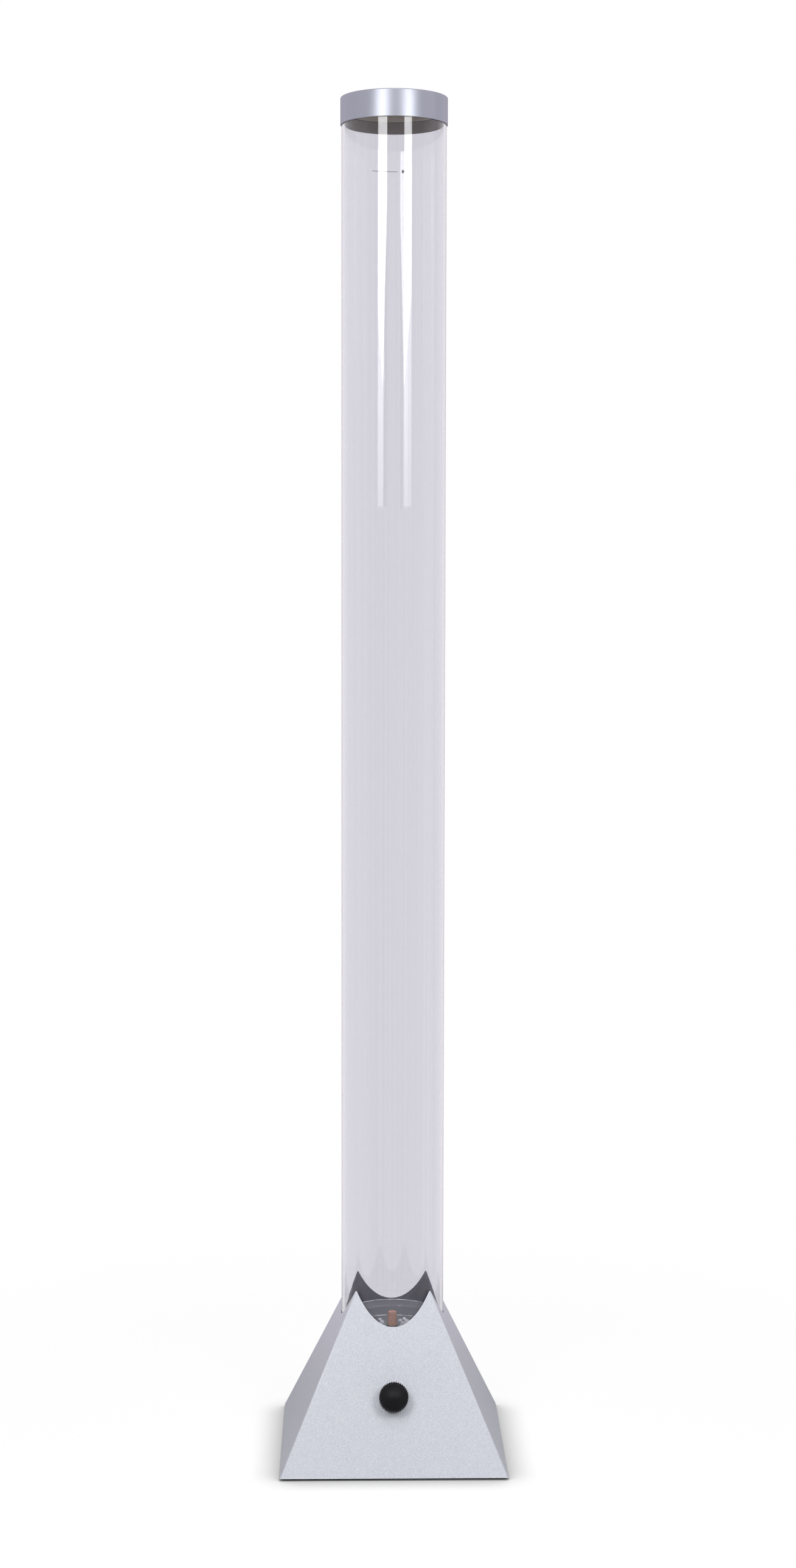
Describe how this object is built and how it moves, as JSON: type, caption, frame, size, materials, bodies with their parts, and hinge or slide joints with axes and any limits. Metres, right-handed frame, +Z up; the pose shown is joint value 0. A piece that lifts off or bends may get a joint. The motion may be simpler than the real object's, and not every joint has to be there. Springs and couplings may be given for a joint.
{
  "type": "bubble tube floor lamp",
  "caption": "Clear water-filled tube on a silver pyramid base with a control knob, an air stone for bubbles, lights under the tube and a lift-off metal cap.",
  "frame": {"origin": "on the floor under the tube's axis, at the bottom of the rubber feet", "axes": "+Z up along the tube, -Y towards the front face with the knob, +X to the right seen from the front"},
  "size_m": [0.2, 0.2, 1.2],
  "materials": {
    "cover_silver": "silver metallic paint over moulded ABS, satin",
    "plate_black": "moulded black ABS, fine texture",
    "foot_rubber": "matt moulded rubber",
    "screw_steel": "zinc-plated, satin",
    "clear_acrylic": "clear extruded acrylic, polished",
    "grit_stone": "rough sintered grit",
    "nozzle_black": "moulded, satin",
    "board_green": "solder mask over glass fibre",
    "led_lens": "clear cast epoxy",
    "pump_white": "moulded ABS, satin",
    "core_iron": "stacked electrical sheet",
    "copper_wire": "enamelled copper winding",
    "magnet_dark": "sintered ferrite, matt",
    "hose_silicone": "translucent silicone",
    "knob_black": "moulded ABS, semi-gloss",
    "shaft_metal": "turned",
    "control_metal": "zinc-plated pressing",
    "nut_nickel": "nickel-plated",
    "component_black": "moulded",
    "pin_nickel": "nickel-plated brass",
    "lead_black": "soft PVC sleeve",
    "cap_aluminium": "drawn, satin brushed and clear anodised",
    "liner_dark": "moulded, matt",
    "seal_rubber": "matt moulded rubber"
  },
  "bodies": {
    "root": {"pyramid_cover": "cover_silver", "base_plate": "plate_black", "rubber_feet": "foot_rubber", "cover_screws": "screw_steel", "socket_screws": "screw_steel", "tube_socket": "plate_black", "tube_foot_gasket": "seal_rubber", "water_tube": "clear_acrylic", "tube_plug": "clear_acrylic", "stone_nozzle": "nozzle_black", "air_stone": "grit_stone", "led_board": "board_green", "led_lamps": "led_lens", "led_board_screws": "screw_steel", "pump_case": "pump_white", "pump_lid": "pump_white", "pump_lid_screws": "screw_steel", "pump_mounts": "foot_rubber", "pump_core": "core_iron", "pump_bobbin": "nozzle_black", "pump_coil": "copper_wire", "pump_pivot_pin": "screw_steel", "pump_bellows": "seal_rubber", "pump_valve_head": "pump_white", "check_valve": "pump_white", "air_hose_lower": "hose_silicone", "air_hose_upper": "hose_silicone", "rotary_control": "control_metal", "control_nut": "nut_nickel", "control_washer": "nut_nickel", "control_board": "board_green", "board_parts": "component_black", "power_socket": "component_black", "power_socket_pin": "pin_nickel", "power_socket_nut": "nut_nickel", "led_lead": "lead_black", "pump_lead": "lead_black", "power_lead": "lead_black"},
    "knob": {"control_knob": "knob_black", "knob_shaft": "shaft_metal"},
    "cap": {"top_cap": "cap_aluminium", "cap_liner": "liner_dark"},
    "pump_lever": {"pump_lever": "nozzle_black", "pump_magnet": "magnet_dark", "bellows_screw": "screw_steel"}
  },
  "joints": [
    {"name": "knob_turn", "type": "hinge", "parent": "root", "child": "knob", "pos_m": [0, -0.0719, 0.0641], "axis": [0, 0.9111, -0.4122], "range_deg": [0, 300]},
    {"name": "cap_lift", "type": "slide", "parent": "root", "child": "cap", "axis": [0, 0, 1], "range_m": [0, 0.1]},
    {"name": "pump_lever_swing", "type": "hinge", "parent": "root", "child": "pump_lever", "pos_m": [-0.0155, 0.014, 0.0242], "axis": [0, 0, 1], "range_deg": [-2, 2], "stiffness_Nm_per_rad": 0.1, "deforming": ["pump_bellows"]}
  ]
}
